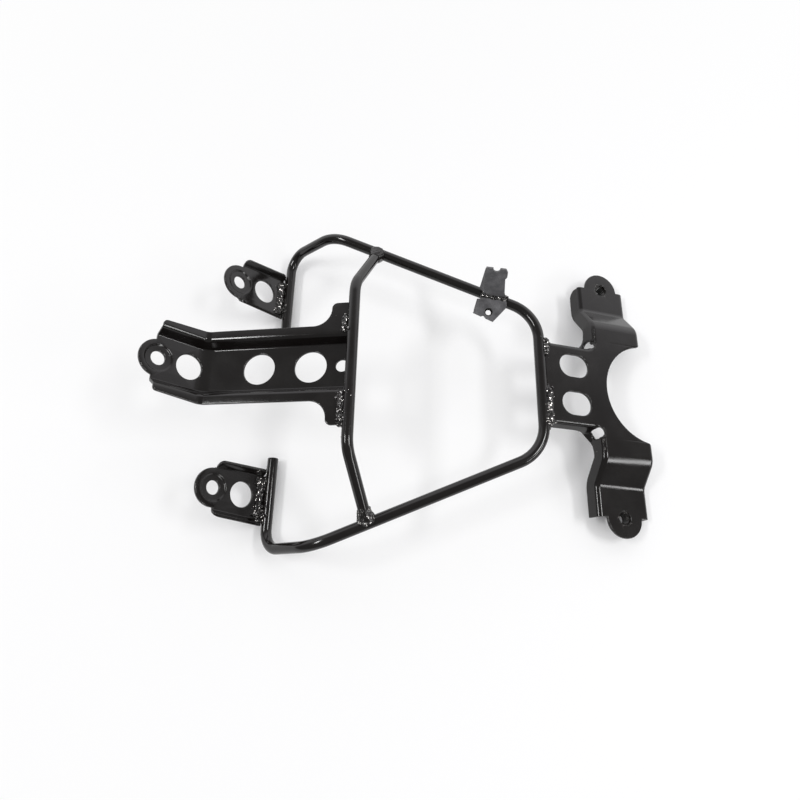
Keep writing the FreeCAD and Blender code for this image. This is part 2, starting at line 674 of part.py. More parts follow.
def bead(start, end, radius, neighbours):
    """Round-ended weld bead between two points, cut back to the faces of its neighbours."""
    along = end - start
    body = Part.makeCylinder(radius, along.Length, start, along)
    caps = [Part.makeSphere(radius, point) for point in (start, end)]
    return cut_back(one_solid([body] + caps), neighbours)


def cut_back(shape, neighbours):
    """Largest piece of a shape outside its neighbours."""
    for neighbour in neighbours:
        shape = shape.cut(neighbour)
    return max(shape.Solids, key=lambda solid: solid.Volume)


def cross_bead(side, neighbours):
    """Collar of weld round the end of the cross bar, thickest at the hoop."""
    landing = run_point(CROSS_LANDING)
    knee = Vector(CROSS_X, CROSS_BEND_Y, CROSS_Z)
    along = unit(knee - landing)
    base = landing + along * CROSS_BEAD_START
    wide, narrow = CROSS_BEAD_R
    collar = Part.makeCone(wide, narrow, CROSS_BEAD_LENGTH, base, along)
    if side < 0:
        collar = collar.mirror(Vector(0, 0, 0), mirror_y)
    return cut_back(collar, neighbours)


os.makedirs("parts", exist_ok=True)
arm_angle = math.radians(ARM_SLOPE)
tip_angle = math.radians(ARM_TIP_SLOPE)
shoulder = Vector(HOOP_SHOULDER_X, HOOP_HALF, HOOP_Z)
run_along = unit(Vector(HOOP_NOSE_X, HOOP_NOSE_Y, HOOP_Z) - shoulder)
plate_corner_u = PLATE_ARM_U - PLATE_CORNER_R
plate_corner_v = PLATE_BODY_HALF + PLATE_CORNER_R

run_outward = Vector(0, 0, 1).cross(run_along)
clip_along = Rotation(Vector(0, 0, 1), CLIP_SKEW).multVec(run_along)
clip_fold = run_point(CLIP_ALONG_RUN) - run_outward * CLIP_INWARD + Vector(0, 0, CLIP_RISE)

hoop = hoop_rod()
cross = cross_rod(hoop)
arm = centre_arm(cross)
plate = end_plate(hoop)
clip = clip_bracket(hoop)
left_tab, right_tab = left_and_right(side_tab())
nodes = {
    "hoop_rod": hoop,
    "cross_rod": cross,
    "centre_arm": arm,
    "left_side_tab": left_tab,
    "right_side_tab": right_tab,
    "end_plate": plate,
    "clip_bracket": clip,
}

plate_place = plate_frame()
tab_place = tab_plane()
for name, side in (("left", 1), ("right", -1)):
    seat = Vector(PLATE_NUT_U, side * PLATE_NUT_V, -PLATE_DROP - SHEET)
    nut = weld_nut(NUT_ACROSS, NUT_HEIGHT, NUT_PILOT_D, NUT_PILOT_H, NUT_THREAD_D, NUT_CHAMFER)
    nodes[name + "_weld_nut"] = placed(nut, plate_place.multiply(Placement(seat, Rotation())))
leaf = leaf_plane(180 + CLIP_DOWN)
leaf_turned = Rotation(Vector(1, 0, 0), 180)
seat = Placement(Vector(CLIP_NUT_S, CLIP_NUT_L, CLIP_SHEET), leaf_turned)
nodes["clip_weld_nut"] = placed(weld_nut(
    CLIP_NUT_ACROSS, CLIP_NUT_HEIGHT, CLIP_NUT_PILOT_D, CLIP_NUT_PILOT_H, CLIP_NUT_THREAD_D, CLIP_NUT_CHAMFER,
), leaf.multiply(seat))

# Weld beads, each cut back to the pieces it joins
under_size = 4 * TAB_BOLT_TO_BAR
under = Part.makeBox(under_size, under_size, under_size)
under.translate(Vector(-under_size / 2, -under_size / 2, -under_size))
left_under, right_under = left_and_right(placed(under, tab_place))
wing_x = CROSS_X - bar_r - WING_BEAD_R / 2
wing_rise = (wing_x - ARM_VALLEY_X) * math.tan(arm_angle) + ARM_DEPTH / math.cos(arm_angle)
wing_z = ARM_VALLEY_Z + wing_rise
for name, side in (("left", 1), ("right", -1)):
    nodes[name + "_cross_weld"] = cross_bead(side, [hoop, cross])
    stretch = WING_BEAD_LEFT_FROM_EDGE if side > 0 else WING_BEAD_RIGHT_FROM_EDGE
    ends = [Vector(wing_x, side * (WING_HALF - inset), wing_z) for inset in stretch]
    nodes[name + "_wing_weld"] = bead(ends[0], ends[1], WING_BEAD_R, [cross, arm])
    stretch = PLATE_BEAD_LEFT if side > 0 else PLATE_BEAD_RIGHT
    ends = [plate_place.multVec(Vector(bar_r, v, 0)) for v in stretch]
    nodes[name + "_plate_weld"] = bead(ends[0], ends[1], PLATE_BEAD_R, [hoop, plate])
    bead_u = TAB_BOLT_TO_BAR - TAB_BEAD_FROM_BAR
    ends = [
        tab_place.multVec(Vector(bead_u, TAB_HOLE_SHIFT + v, -TAB_BEAD_DROP))
        for v in (-TAB_BEAD_HALF, TAB_BEAD_HALF)
    ]
    ends = [Vector(p.x, side * p.y, p.z) for p in ends]
    tab, under = (left_tab, left_under) if side > 0 else (right_tab, right_under)
    nodes[name + "_tab_weld"] = bead(ends[0], ends[1], TAB_BEAD_R, [hoop, under, tab])
bead_at = run_outward * CLIP_BEAD_OUT + Vector(0, 0, bar_r + CLIP_BEAD_RISE)
ends = [run_point(CLIP_ALONG_RUN + s) + bead_at for s in CLIP_BEAD_SPAN]
nodes["clip_weld"] = bead(ends[0], ends[1], CLIP_BEAD_R, [hoop, clip])

# Origin under the middle of the whole part's box, then one STEP file for each piece
box = FreeCAD.BoundBox()
for shape in nodes.values():
    box.add(shape.optimalBoundingBox(False))
shift = Vector(-box.Center.x, -box.Center.y, -box.ZMin)
print("box", box, "shift", shift)
total = 0.0
for name, shape in nodes.items():
    moved = shape.copy()
    moved.translate(shift)
    total += moved.Volume
    print(name, moved.isValid(), len(moved.Solids), round(moved.Volume), moved.optimalBoundingBox(False))
    moved.exportStep(f"parts/{name}.step")
print("volume", total, "steel kg", total * STEEL_KG_PER_MM3)

# Where the mounts are in the finished frame
tip = Vector(math.cos(tip_angle), 0, -math.sin(tip_angle))
tip_normal = Vector(math.sin(tip_angle), 0, math.cos(tip_angle))
arm_bolt = Vector(ARM_VALLEY_X, 0, ARM_VALLEY_Z) - tip * ARM_BOLT_AT + shift
print("arm bolt", arm_bolt, tip_normal)
tab_normal = tab_place.Rotation.multVec(Vector(0, 0, 1))
plate_normal = plate_place.Rotation.multVec(Vector(0, 0, 1))
print("tab bolt", tab_place.Base + shift, tab_normal)
plate_nut = plate_place.multVec(Vector(PLATE_NUT_U, PLATE_NUT_V, -PLATE_DROP - SHEET)) + shift
print("weld nut", plate_nut, plate_normal)
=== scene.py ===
import json
import math
import random

import bmesh
import bpy
import numpy as np
from mathutils import Matrix, Vector, noise
from mathutils.bvhtree import BVHTree

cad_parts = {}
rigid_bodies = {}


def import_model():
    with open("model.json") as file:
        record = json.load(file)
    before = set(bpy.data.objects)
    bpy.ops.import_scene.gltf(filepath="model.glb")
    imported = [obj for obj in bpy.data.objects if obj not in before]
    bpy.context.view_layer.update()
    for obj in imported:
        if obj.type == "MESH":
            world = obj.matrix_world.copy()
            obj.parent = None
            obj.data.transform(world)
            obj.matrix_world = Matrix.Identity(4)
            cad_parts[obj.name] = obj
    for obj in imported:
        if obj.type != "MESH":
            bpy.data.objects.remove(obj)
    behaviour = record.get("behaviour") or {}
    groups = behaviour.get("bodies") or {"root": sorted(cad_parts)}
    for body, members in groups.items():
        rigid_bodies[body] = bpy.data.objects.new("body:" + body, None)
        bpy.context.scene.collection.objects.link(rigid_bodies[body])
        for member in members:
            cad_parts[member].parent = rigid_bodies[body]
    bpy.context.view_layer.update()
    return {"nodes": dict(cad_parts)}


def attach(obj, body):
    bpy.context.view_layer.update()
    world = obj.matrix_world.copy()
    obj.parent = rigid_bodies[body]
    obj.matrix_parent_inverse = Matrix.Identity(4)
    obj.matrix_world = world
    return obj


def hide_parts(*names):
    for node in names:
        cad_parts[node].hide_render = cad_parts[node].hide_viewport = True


for leftover in list(bpy.data.objects):
    bpy.data.objects.remove(leftover)

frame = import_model()

# Hoop bar: one round steel bar, cold bent to the carrier's outline and cut off square.
# It is sprayed with the rest of the carrier in one coat of gloss black after welding,
# so the paint is a little wavy, carries dust nibs and is thin on every cut edge.
MM = 0.001
BAR_END_ROUND = 0.5 * MM
ROUNDING_STEPS = 2
SPLIT_CLOSED = 0.09 * MM
SLIVER_CLOSED = 0.004 * MM
CUT_EDGE_ANGLE = math.radians(38)
STRAY_ROUNDS = 8
PAINT_BLACK = (0.0056, 0.0044, 0.0041, 1)
PAINT_DUSTY = (0.0105, 0.0092, 0.0086, 1)
PAINT_CHIP = (0.22, 0.21, 0.20, 1)
BARE_METAL = (0.66, 0.64, 0.62, 1)
PAINT_IOR = 1.48
DUST_CLOUDS = 38
DUST_STREAKS = 420
CHIP_FLECKS = 310
CHIP_SOFT = 0.07
CHIP_ROUGH = 0.25
EDGE_WEAR = 0.7 * MM
SLOW_WAVES = 95
SLOW_DEPTH = 0.6 * MM
PEEL_GRAIN = 620
PEEL_DEPTH = 0.10 * MM
DUST_NIBS = 340
NIB_DEPTH = 0.05 * MM
SCUFF_SCRATCHES = 520
SCUFF_REACH = (5.5 * MM, 10.5 * MM)
BARE_GRAIN = 620
GRIT_GRAIN = 1500
GRIT_DEPTH = 0.25 * MM


def cloudy(nodes, links, place, scale, detail, rough=0.5):
    """Noise texture on the carrier's own coordinates, in metres."""
    texture = nodes.new("ShaderNodeTexNoise")
    texture.inputs["Scale"].default_value = scale
    texture.inputs["Detail"].default_value = detail
    texture.inputs["Roughness"].default_value = rough
    links.new(place, texture.inputs["Vector"])
    return texture.outputs["Fac"]


def ranged(nodes, links, value, low, high, to_low, to_high):
    """Value stretched from one span to another, and held inside it."""
    stretch = nodes.new("ShaderNodeMapRange")
    stretch.inputs["From Min"].default_value = low
    stretch.inputs["From Max"].default_value = high
    stretch.inputs["To Min"].default_value = to_low
    stretch.inputs["To Max"].default_value = to_high
    links.new(value, stretch.inputs["Value"])
    return stretch.outputs["Result"]


def joined(nodes, links, way, first, second):
    """Two values put together by one sum."""
    step = nodes.new("ShaderNodeMath")
    step.operation = way
    links.new(first, step.inputs[0])
    links.new(second, step.inputs[1])
    return step.outputs["Value"]


def coloured(nodes, links, amount, under, over):
    """Colour that goes from one to another by an amount."""
    blend = nodes.new("ShaderNodeMix")
    blend.data_type = "RGBA"
    links.new(amount, blend.inputs["Factor"])
    for socket, colour in ((blend.inputs[6], under), (blend.inputs[7], over)):
        if isinstance(colour, tuple):
            socket.default_value = colour
        else:
            links.new(colour, socket)
    return blend.outputs[2]


def bumped(nodes, links, height, strength, depth, below=None):
    """Normal raised by a height map, on top of another one where it is given."""
    bump = nodes.new("ShaderNodeBump")
    bump.inputs["Strength"].default_value = strength
    bump.inputs["Distance"].default_value = depth
    links.new(height, bump.inputs["Height"])
    if below is not None:
        links.new(below, bump.inputs["Normal"])
    return bump.outputs["Normal"]


def edge_mask(nodes, links, width):
    """One along the cut edges, nothing on the flats, from a rounded normal."""
    rim = nodes.new("ShaderNodeBevel")
    rim.samples = 4
    rim.inputs["Radius"].default_value = width
    agree = nodes.new("ShaderNodeVectorMath")
    agree.operation = "DOT_PRODUCT"
    links.new(rim.outputs["Normal"], agree.inputs[0])
    links.new(nodes.new("ShaderNodeNewGeometry").outputs["Normal"], agree.inputs[1])
    return ranged(nodes, links, agree.outputs["Value"], 0.995, 0.86, 0, 1)


def gloss_black_paint(name, gloss, peel, chip_at, grit=0.0, bare_at=None, scuffs=()):
    """Sprayed black coat with dust, nibs, orange peel and chips, and bare specks or scuffs if given."""
    paint = bpy.data.materials.new(name)
    paint.use_nodes = True
    nodes = paint.node_tree.nodes
    links = paint.node_tree.links
    shader = nodes["Principled BSDF"]
    shader.inputs["IOR"].default_value = PAINT_IOR
    place = nodes.new("ShaderNodeTexCoord").outputs["Object"]

    cloud = cloudy(nodes, links, place, DUST_CLOUDS, 5, 0.6)
    streak = cloudy(nodes, links, place, DUST_STREAKS, 3, 0.6)
    dust = joined(nodes, links, "MULTIPLY", ranged(nodes, links, cloud, 0.42, 0.72, 0, 1),
                  ranged(nodes, links, streak, 0.35, 0.75, 0.6, 1))
    coat = coloured(nodes, links, dust, PAINT_BLACK, PAINT_DUSTY)
    fleck = cloudy(nodes, links, place, CHIP_FLECKS, 4, 0.65)
    fleck = ranged(nodes, links, fleck, chip_at, chip_at + CHIP_SOFT, 0, 1)
    chip = joined(nodes, links, "MULTIPLY", edge_mask(nodes, links, EDGE_WEAR), fleck)
    for spot in scuffs:
        away = nodes.new("ShaderNodeVectorMath")
        away.operation = "DISTANCE"
        away.inputs[1].default_value = spot
        links.new(place, away.inputs[0])
        rubbed = ranged(nodes, links, away.outputs["Value"], SCUFF_REACH[0], SCUFF_REACH[1], 0.10, -0.14)
        scratch = cloudy(nodes, links, place, SCUFF_SCRATCHES, 4, 0.7)
        rubbed = ranged(nodes, links, joined(nodes, links, "ADD", scratch, rubbed), 0.66, 0.74, 0, 1)
        chip = joined(nodes, links, "MAXIMUM", chip, rubbed)
    coat = coloured(nodes, links, chip, coat, PAINT_CHIP)
    if bare_at is not None:
        grain = cloudy(nodes, links, place, BARE_GRAIN, 1, 0.5)
        bare = ranged(nodes, links, grain, bare_at, bare_at + 0.03, 0, 1)
        coat = coloured(nodes, links, bare, coat, BARE_METAL)
        links.new(bare, shader.inputs["Metallic"])
    links.new(coat, shader.inputs["Base Color"])

    shine = ranged(nodes, links, cloud, 0.3, 0.7, gloss[0], gloss[1])
    links.new(joined(nodes, links, "ADD", shine, ranged(nodes, links, chip, 0, 1, 0, CHIP_ROUGH)),
              shader.inputs["Roughness"])

    slow = bumped(nodes, links, cloudy(nodes, links, place, SLOW_WAVES, 1), 0.06, SLOW_DEPTH)
    skin = bumped(nodes, links, cloudy(nodes, links, place, PEEL_GRAIN, 2), peel, PEEL_DEPTH, slow)
    nib = nodes.new("ShaderNodeTexVoronoi")
    nib.inputs["Scale"].default_value = DUST_NIBS
    links.new(place, nib.inputs["Vector"])
    speck = ranged(nodes, links, nib.outputs["Distance"], 0.02, 0.13, 1, 0)
    finish = bumped(nodes, links, speck, 0.25, NIB_DEPTH, skin)
    if grit > 0:
        gritty = cloudy(nodes, links, place, GRIT_GRAIN, 4, 0.7)
        finish = bumped(nodes, links, gritty, grit, GRIT_DEPTH, finish)
    links.new(finish, shader.inputs["Normal"])
    return paint


def bare_shape(node_name, tight):
    """Bare mesh of a steel piece, with its split corners and its tiniest edges closed up."""
    source = frame["nodes"][node_name].data
    plain = bpy.data.meshes.new(node_name + "_plain")
    plain.from_pydata([v.co[:] for v in source.vertices], [], [p.vertices[:] for p in source.polygons])
    shell = bmesh.new()
    shell.from_mesh(plain)
    bpy.data.meshes.remove(plain)
    bmesh.ops.remove_doubles(shell, verts=shell.verts, dist=tight)
    return shell


def draw_in_strays(shell, skin, slack):
    """Fold corners that rounding has thrown off the steel back into their nearest neighbours."""
    for _ in range(STRAY_ROUNDS):
        faults = {}
        for vert in shell.verts:
            if skin.find_nearest(vert.co)[3] > slack:
                faults[vert] = 99
        for edge in shell.edges:
            if edge.calc_length() > 2 * slack:
                middle = (edge.verts[0].co + edge.verts[1].co) / 2
                if skin.find_nearest(middle)[3] > slack:
                    for vert in edge.verts:
                        faults[vert] = faults.get(vert, 0) + 1
        if not faults:
            break
        folds = {}
        kept = set()
        for vert in sorted(faults, key=lambda v: (-faults[v], v.index)):
            near = [e.other_vert(vert) for e in vert.link_edges]
            near = [v for v in near if v not in folds and faults.get(v, 0) <= faults[vert]]
            if near and vert not in kept:
                folds[vert] = min(near, key=lambda v: (v.co - vert.co).length)
                kept.add(folds[vert])
        bmesh.ops.weld_verts(shell, targetmap=folds)
        shell.verts.index_update()


def edge_rounded(node_name, edge_round, find_tips=None, tip_round=0.0):
    """Copy of a steel piece whose cut edges are rounded as the press and the paint leave them."""
    shell = bare_shape(node_name, SPLIT_CLOSED)
    bmesh.ops.dissolve_limit(shell, angle_limit=math.radians(0.5), use_dissolve_boundaries=False,
                             verts=shell.verts, edges=shell.edges, delimit={"NORMAL"})
    if find_tips is not None:
        bmesh.ops.bevel(shell, geom=find_tips(shell, tip_round), offset=tip_round, offset_type="OFFSET",
                        segments=6, profile=0.5, affect="EDGES", clamp_overlap=True, loop_slide=True)
    skin = BVHTree.FromBMesh(shell)
    cut_edges = [e for e in shell.edges if e.is_manifold and e.calc_face_angle() > CUT_EDGE_ANGLE]
    bmesh.ops.bevel(shell, geom=cut_edges, offset=edge_round, offset_type="OFFSET",
                    segments=ROUNDING_STEPS, profile=0.5, affect="EDGES",
                    clamp_overlap=False, loop_slide=True)
    draw_in_strays(shell, skin, 0.45 * edge_round)
    bmesh.ops.dissolve_degenerate(shell, edges=shell.edges, dist=SLIVER_CLOSED)
    bmesh.ops.triangulate(shell, faces=[f for f in shell.faces if len(f.verts) > 4])
    for face in shell.faces:
        face.smooth = True
    mesh = bpy.data.meshes.new(node_name + "_rounded")
    shell.to_mesh(mesh)
    shell.free()
    piece = bpy.data.objects.new(node_name + "_painted", mesh)
    bpy.context.scene.collection.objects.link(piece)
    even = piece.modifiers.new("even_shading", "WEIGHTED_NORMAL")
    even.weight = 60
    return piece


def fit(piece, node_name, finish):
    """Give a piece its finish and put it in its node's place on the carrier."""
    piece.data.materials.clear()
    piece.data.materials.append(finish)
    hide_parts(node_name)
    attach(piece, "root")


bar_paint = gloss_black_paint("bar_gloss_black", gloss=(0.10, 0.17), peel=0.08, chip_at=0.66)
fit(edge_rounded("hoop_rod", BAR_END_ROUND), "hoop_rod", bar_paint)

# Cross bar: a shorter length of the same bar, bent up at both ends into a low bridge.
# Its ends are ground to sit on the hoop's runs and are welded there.
fit(edge_rounded("cross_rod", BAR_END_ROUND), "cross_rod", bar_paint)

# Cross-bar welds: a thick run of weld wire laid round each end of the cross bar.
# The puddle freezes in uneven lumps and throws spatter on the bars beside it; all painted over.
BEAD_VOXEL = 0.30 * MM
BEAD_TIGHT = 0.002 * MM
BEAD_PROUD = 0.10 * MM
BEAD_LUMPS = (2.6 * MM, 1.0 * MM, 0.55 * MM)
RIPPLE_PITCH = 1.9 * MM
RIPPLE_BOW = 0.35
CLOT_SIZES = (0.6, 1.5)
SPATTER_SIZES = (0.16, 0.46)
weld_paint = gloss_black_paint("weld_gloss_black", gloss=(0.08, 0.16), peel=0.2, chip_at=0.66,
                               grit=0.2, bare_at=0.60)


def nearby_surfaces(node_names):
    """Search trees of the steel pieces round a weld."""
    trees = []
    for node_name in node_names:
        source = frame["nodes"][node_name].data
        trees.append(BVHTree.FromPolygons([v.co[:] for v in source.vertices],
                                          [p.vertices[:] for p in source.polygons]))
    return trees


def drop(shell, spot, facing, size, dice):
    """One squat frozen drop on a surface."""
    turn = facing.to_track_quat("Z", "Y").to_matrix().to_4x4()
    squat = Matrix.Diagonal((1, dice.uniform(0.7, 1.25), dice.uniform(0.55, 0.9), 1))
    return bmesh.ops.create_icosphere(shell, subdivisions=2, radius=size,
                                      matrix=Matrix.Translation(spot) @ turn @ squat)


def lumpy_bead(node_name, beside, lump, ripple, clots, spread, spatters, seed):
    """Weld bead grown from its node: clotted, remeshed finely, rippled, with spatter round it."""
    dice = random.Random(seed)
    trees = nearby_surfaces(beside)
    shell = bare_shape(node_name, BEAD_TIGHT)
    starts = [v.co.copy() for v in shell.verts]
    for _ in range(clots):
        shift = Vector((dice.gauss(0, spread), dice.gauss(0, spread), dice.gauss(0, spread)))
        spot, facing, _, away = dice.choice(trees).find_nearest(dice.choice(starts) + shift)
        if facing.z > -0.2 and away < 2 * spread:
            drop(shell, spot, facing, dice.uniform(*CLOT_SIZES) * MM, dice)
    plain = bpy.data.meshes.new(node_name + "_plain")
    shell.to_mesh(plain)
    shell.free()
    holder = bpy.data.objects.new(node_name + "_holder", plain)
    bpy.context.scene.collection.objects.link(holder)
    fine = holder.modifiers.new("fine", "REMESH")
    fine.mode = "VOXEL"
    fine.voxel_size = BEAD_VOXEL
    bpy.context.view_layer.update()
    evaluated = holder.evaluated_get(bpy.context.evaluated_depsgraph_get())
    mesh = bpy.data.meshes.new_from_object(evaluated)
    bpy.data.objects.remove(holder)
    bpy.data.meshes.remove(plain)
    mesh.name = node_name + "_lumpy"

    points = np.array([v.co[:] for v in mesh.vertices])
    spread_out = points - points.mean(0)
    along = np.linalg.svd(spread_out, full_matrices=False)[2][0]
    run = spread_out @ along
    off_line = np.linalg.norm(spread_out - np.outer(run, along), axis=1)
    bead = bmesh.new()
    bead.from_mesh(mesh)
    bmesh.ops.smooth_vert(bead, verts=bead.verts, factor=0.5,
                          use_axis_x=True, use_axis_y=True, use_axis_z=True)
    bead.normal_update()
    drift = Vector((seed * 3.7, seed * 1.9, seed * 5.3))
    moves = []
    for vert, s, off in zip(bead.verts, run, off_line):
        big = noise.noise(vert.co / BEAD_LUMPS[0] + drift)
        small = noise.noise(vert.co / BEAD_LUMPS[1] + drift * 2)
        tiny = noise.noise(vert.co / BEAD_LUMPS[2] - drift)
        crescent = math.cos((s + RIPPLE_BOW * off) / RIPPLE_PITCH * 2 * math.pi)
        rise = lump * (0.55 * big + 0.40 * abs(small) + 0.20 * tiny) + ripple * crescent + BEAD_PROUD
        moves.append(vert.normal * rise)
    for vert, move in zip(bead.verts, moves):
        vert.co += move
    for _ in range(spatters):
        reach = 3 * spread
        shift = Vector((dice.gauss(0, reach), dice.gauss(0, reach), abs(dice.gauss(0, reach))))
        spot, facing, _, away = dice.choice(trees).find_nearest(dice.choice(starts) + shift)
        if facing.z > 0.1 and away < 2 * reach:
            drop(bead, spot, facing, dice.uniform(*SPATTER_SIZES) * MM, dice)
    for face in bead.faces:
        face.smooth = True
    bead.to_mesh(mesh)
    bead.free()
    piece = bpy.data.objects.new(node_name + "_bead", mesh)
    bpy.context.scene.collection.objects.link(piece)
    return piece


bead = lumpy_bead("left_cross_weld", ("hoop_rod", "cross_rod"), lump=0.5 * MM, ripple=0.10 * MM,
                  clots=6, spread=0.6 * MM, spatters=8, seed=1)
fit(bead, "left_cross_weld", bar_paint)
bead = lumpy_bead("right_cross_weld", ("hoop_rod", "cross_rod"), lump=0.9 * MM, ripple=0.16 * MM,
                  clots=24, spread=0.8 * MM, spatters=26, seed=2)
fit(bead, "right_cross_weld", weld_paint)

# Centre arm: a strip of sheet pressed into a shallow hat section and bent up at its tip.
# Bolt seat, lightening holes and wings are punched; the punch leaves a soft upper edge.
SHEET_EDGE_ROUND = 0.5 * MM
SHEET_THICK = 2.3 * MM
THICK_SLACK = 0.05 * MM
FLANGE_WIDEST = 6.0 * MM
TIP_ANGLE = math.radians(60)
ARM_TIP_ROUND = 2.6 * MM


def flange_tips(shell, tip_round):
    """Edges through the sheet's thickness at the free corners of narrow flanges."""
    tips = []
    for edge in shell.edges:
        if edge.is_manifold and edge.is_convex and abs(edge.calc_length() - SHEET_THICK) < THICK_SLACK:
            beside = [e.calc_length() for v in edge.verts for e in v.link_edges if e is not edge]
            narrow = 1.1 * tip_round < min(beside) < FLANGE_WIDEST < max(beside)
            if narrow and edge.calc_face_angle() > TIP_ANGLE:
                tips.append(edge)
    return tips


sheet_paint = gloss_black_paint("sheet_gloss_black", gloss=(0.10, 0.17), peel=0.08, chip_at=0.57)
arm_piece = edge_rounded("centre_arm", SHEET_EDGE_ROUND, flange_tips, ARM_TIP_ROUND)
fit(arm_piece, "centre_arm", sheet_paint)

# Wing welds: two short runs that hold the arm's wings under the cross bar.
# The right one is longer and rougher, and its spatter lies on the wing.
bead = lumpy_bead("left_wing_weld", ("centre_arm", "cross_rod"), lump=0.9 * MM, ripple=0.12 * MM,
                  clots=20, spread=1.2 * MM, spatters=30, seed=3)
fit(bead, "left_wing_weld", weld_paint)
bead = lumpy_bead("right_wing_weld", ("centre_arm", "cross_rod"), lump=1.1 * MM, ripple=0.12 * MM,
                  clots=60, spread=1.7 * MM, spatters=60, seed=4)
fit(bead, "right_wing_weld", weld_paint)

# Side tabs: short flanged tabs pressed from the same sheet, one under each free end of the hoop.
# Each has a pressed bolt seat at its round end and one lightening hole.
TAB_TIP_ROUND = 3.6 * MM
for node_name in ("left_side_tab", "right_side_tab"):
    fit(edge_rounded(node_name, SHEET_EDGE_ROUND, flange_tips, TAB_TIP_ROUND), node_name, sheet_paint)

# Tab welds: the heaviest runs, laid in the corner between each tab and the bar above it.
# They are clotted and uneven, and spread up the tab towards its hole.
bead = lumpy_bead("left_tab_weld", ("left_side_tab", "hoop_rod"), lump=1.1 * MM, ripple=0.18 * MM,
                  clots=45, spread=1.5 * MM, spatters=50, seed=5)
fit(bead, "left_tab_weld", weld_paint)
bead = lumpy_bead("right_tab_weld", ("right_side_tab", "hoop_rod"), lump=1.4 * MM, ripple=0.18 * MM,
                  clots=150, spread=2.6 * MM, spatters=110, seed=6)
fit(bead, "right_tab_weld", weld_paint)

# End plate: a stepped plate pressed from sheet, with a rolled flange round its inner corners,
# two slots, an arc for the lamp's neck and two dropped feet with holes for nuts.
# A second strike of the press sets its inner flange straight and steep, without the lip.
PLATE_NUT_SEATS = {"left_weld_nut": Vector((0.1586487, 0.0925501, 0.0107874)),
                   "right_weld_nut": Vector((0.1586487, -0.0952499, 0.0107874))}
PLATE_ORIGIN = Vector((0.0977364, -0.00135, 0.0456592))
PLATE_DOWN_SLOPE = Vector((0.9552784, 0, -0.2957081))
PLATE_UP = Vector((0.2957081, 0, 0.9552784))
ARM_FOLD = 47.0 * MM
BODY_FOLD = 31.3 * MM
CORNER_ROUND = 6.5 * MM
STAIR_START = 20.0 * MM
STAIR_RUNS = ((29.98 * MM, 0), (8.718 * MM, -37), (14.91 * MM, 0), (4.198 * MM, 37), (40 * MM, 0))
FLANGE_FROM = 8.9 * MM
FLANGE_START = 57.0 * MM
FLANGE_ROLLED = ((7.01 * MM, 0), (4.95 * MM, 81.03), (1.755 * MM, 0), (1.697 * MM, -81.03),
                 (2.875 * MM, 0))
FLANGE_STRUCK = ((7.01 * MM, 0), (4.95 * MM, 76), (2.0 * MM, 0), (1.93 * MM, 0), (3.27 * MM, 0))
RUN_STEPS = 150
SLICES_DOWN = (25.0 * MM, 47.0 * MM)
SLICES_ACROSS = (32.0 * MM, 53.0 * MM)
SLICE_WIDE = 1.0 * MM
SLICE_SLACK = 0.002 * MM
CREASE_REACH = 7.0 * MM
CREASE_BELOW = -3.0 * MM
CREASE_ROUNDS = 8


def bent_line(start, heading, runs):
    """Points of a line of runs, each with a length and the angle it turns through, and its two ways."""
    points = [np.array(start)]
    headings = [heading]
    for length, turn in runs:
        turn_step = math.radians(turn) / RUN_STEPS
        for _ in range(RUN_STEPS):
            middle = headings[-1] + turn_step / 2
            way = np.array((math.cos(middle), math.sin(middle)))
            points.append(points[-1] + length / RUN_STEPS * way)
            headings.append(headings[-1] + turn_step)
    headings = np.array(headings)
    ahead = np.stack((np.cos(headings), np.sin(headings)), axis=1)
    aside = np.stack((-np.sin(headings), np.cos(headings)), axis=1)
    return np.array(points), ahead, aside


def beside_line(spots, line):
    """Nearest place on a bent line for each spot, and how far the spot lies ahead of it and aside."""
    points, ahead, aside = line
    nearest = np.array([((points - spot) ** 2).sum(1).argmin() for spot in spots])
    off = spots - points[nearest]
    return nearest, (off * ahead[nearest]).sum(1), (off * aside[nearest]).sum(1)


def from_line(nearest, forward, sideways, line):
    """Spots that lie ahead of places on a bent line and aside from them."""
    points, ahead, aside = line
    return points[nearest] + forward[:, None] * ahead[nearest] + sideways[:, None] * aside[nearest]


def slice_corners(shell):
    """Cut the plate into narrow strips both ways at its corners, so that its flats there can bend."""
    slices = [(PLATE_DOWN_SLOPE, reach) for reach in np.arange(*SLICES_DOWN, SLICE_WIDE)]
    for reach in np.arange(*SLICES_ACROSS, SLICE_WIDE):
        slices += [(Vector((0, 1, 0)), reach), (Vector((0, -1, 0)), reach)]
    for facing, reach in slices:
        whole = shell.verts[:] + shell.edges[:] + shell.faces[:]
        bmesh.ops.bisect_plane(shell, geom=whole, dist=SLICE_SLACK,
                               plane_co=PLATE_ORIGIN + facing * reach, plane_no=facing)
    bmesh.ops.triangulate(shell, faces=[f for f in shell.faces if len(f.verts) > 4])


def past_fold(plan):
    """How far spots lie outside the inner fold, which way is out, and how far the corner's middle is."""
    to_middle = np.array((ARM_FOLD - CORNER_ROUND, BODY_FOLD + CORNER_ROUND)) - plan
    far = np.maximum(np.linalg.norm(to_middle, axis=1), 0.001 * MM)
    in_corner = (to_middle[:, 0] < 0) & (to_middle[:, 1] > 0)
    past_arm = ARM_FOLD - plan[:, 0]
    past_body = plan[:, 1] - BODY_FOLD
    past = np.where(in_corner, CORNER_ROUND - far, np.minimum(past_arm, past_body))
    straight_out = np.where((past_arm <= past_body)[:, None], (-1.0, 0.0), (0.0, 1.0))
    outward = np.where(in_corner[:, None], to_middle / far[:, None], straight_out)
    return past, outward, far


